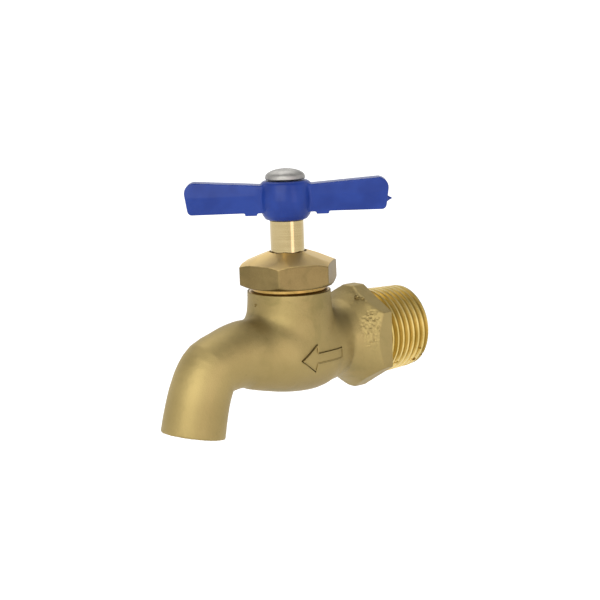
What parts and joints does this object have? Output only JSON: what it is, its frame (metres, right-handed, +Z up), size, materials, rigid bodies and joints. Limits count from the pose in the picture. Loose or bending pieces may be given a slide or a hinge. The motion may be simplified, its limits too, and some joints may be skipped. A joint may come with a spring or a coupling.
{
  "type": "hose bib",
  "caption": "Plain-spout brass bib tap: cast globe body with a hexagon and male taper pipe thread, packing nut, rising threaded stem, loose jumper disc with seat washer, and a coated T-handle.",
  "frame": {"origin": "centre of the end face of the inlet's pipe thread, on the thread's axis", "axes": "+Y out of the inlet towards the pipe or wall, +Z up along the stem, spout towards -Y, +X to the right seen from the spout side"},
  "size_m": [0.035, 0.0752, 0.0619],
  "materials": {
    "cast_brass": "as cast and shot blasted, satin, with machined pipe thread",
    "nut_brass": "forged, satin",
    "washer_brass": "stamped, bright",
    "packing": "graphited packing, matt",
    "gland_brass": "turned",
    "stem_brass": "turned and polished",
    "holder_brass": "turned",
    "rubber": "moulded, matt",
    "screw_brass": "turned",
    "blue_coating": "glossy blue dipped coating on a die casting",
    "nickel": "dull nickel plate"
  },
  "bodies": {
    "valve": {"valve_body": "cast_brass", "packing_nut": "nut_brass", "packing_washer": "washer_brass", "packing_ring": "packing", "gland_ring": "gland_brass"},
    "jumper": {"washer_holder": "holder_brass", "seat_washer": "rubber", "washer_screw": "screw_brass"},
    "spindle": {"stem": "stem_brass", "t_handle": "blue_coating", "handle_screw": "nickel"}
  },
  "joints": [
    {"name": "stem_lift", "type": "slide", "parent": "valve", "child": "jumper", "axis": [0, 0, 1], "range_m": [0, 0.0045]},
    {"name": "handle_turn", "type": "hinge", "parent": "jumper", "child": "spindle", "pos_m": [0, -0.0372, 0], "axis": [0, 0, 1], "range_deg": [0, 648]}
  ],
  "couplings": [
    {"joint": "handle_turn", "follows": "stem_lift", "rad_per_m": 2513.3}
  ]
}
